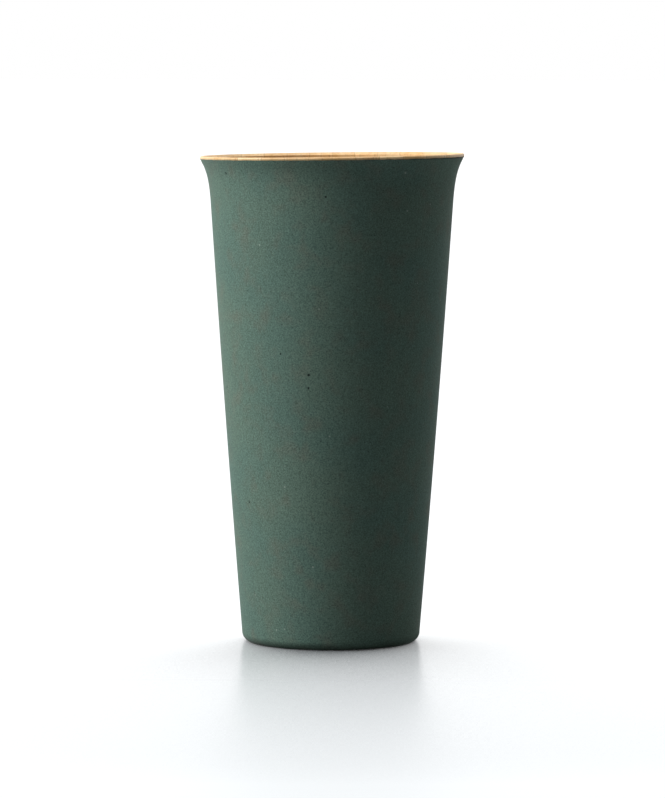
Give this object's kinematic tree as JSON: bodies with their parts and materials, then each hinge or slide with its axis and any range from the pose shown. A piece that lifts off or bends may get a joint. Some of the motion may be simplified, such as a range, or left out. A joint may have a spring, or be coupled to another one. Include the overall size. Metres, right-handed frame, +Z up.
{
  "type": "bamboo cup",
  "caption": "Tall tapered tumbler turned from glued upright bamboo strips, with a thin bare flared lip, a matte green lacquer coat outside and a hollowed foot.",
  "frame": {"origin": "centre of the foot, on the surface that the cup stands on", "axes": "+Z up along the axis that the cup was turned about; -Y is the side that faces the camera, and the strips' wide faces lie along Y"},
  "size_m": [0.08, 0.08, 0.1483],
  "materials": {
    "green_lacquer": "matte, finely mottled lacquer with small pits",
    "pale_bamboo": "clear-coated bamboo, fine upright fibres",
    "honey_bamboo": "clear-coated bamboo, fine upright fibres",
    "tan_bamboo": "clear-coated bamboo, fine upright fibres"
  },
  "bodies": {
    "root": {"green_lacquer_coat": "green_lacquer", "front_board_1_strip_01": "pale_bamboo", "front_board_1_strip_02": "tan_bamboo", "front_board_1_strip_03": "honey_bamboo", "front_board_1_strip_04": "pale_bamboo", "front_board_1_strip_05": "honey_bamboo", "front_board_1_strip_06": "honey_bamboo", "front_board_1_strip_07": "pale_bamboo", "front_board_1_strip_08": "tan_bamboo", "front_board_1_strip_09": "honey_bamboo", "front_board_1_strip_10": "tan_bamboo", "front_board_1_strip_11": "tan_bamboo", "front_board_1_strip_12": "honey_bamboo", "front_board_2_strip_01": "honey_bamboo", "front_board_2_strip_02": "pale_bamboo", "front_board_2_strip_03": "tan_bamboo", "front_board_2_strip_04": "honey_bamboo", "front_board_2_strip_05": "tan_bamboo", "front_board_2_strip_06": "tan_bamboo", "front_board_2_strip_07": "honey_bamboo", "front_board_2_strip_08": "pale_bamboo", "front_board_2_strip_09": "tan_bamboo", "front_board_2_strip_10": "pale_bamboo", "back_board_1_strip_01": "tan_bamboo", "back_board_1_strip_02": "honey_bamboo", "back_board_1_strip_03": "pale_bamboo", "back_board_1_strip_04": "tan_bamboo", "back_board_1_strip_05": "pale_bamboo", "back_board_1_strip_06": "pale_bamboo", "back_board_1_strip_07": "tan_bamboo", "back_board_1_strip_08": "honey_bamboo", "back_board_1_strip_09": "pale_bamboo", "back_board_1_strip_10": "honey_bamboo", "back_board_1_strip_11": "honey_bamboo", "back_board_1_strip_12": "pale_bamboo", "back_board_2_strip_01": "honey_bamboo", "back_board_2_strip_02": "pale_bamboo", "back_board_2_strip_03": "tan_bamboo", "back_board_2_strip_04": "honey_bamboo", "back_board_2_strip_05": "tan_bamboo", "back_board_2_strip_06": "tan_bamboo", "back_board_2_strip_07": "honey_bamboo", "back_board_2_strip_08": "pale_bamboo", "back_board_2_strip_09": "tan_bamboo", "back_board_2_strip_10": "pale_bamboo"}
  },
  "joints": []
}
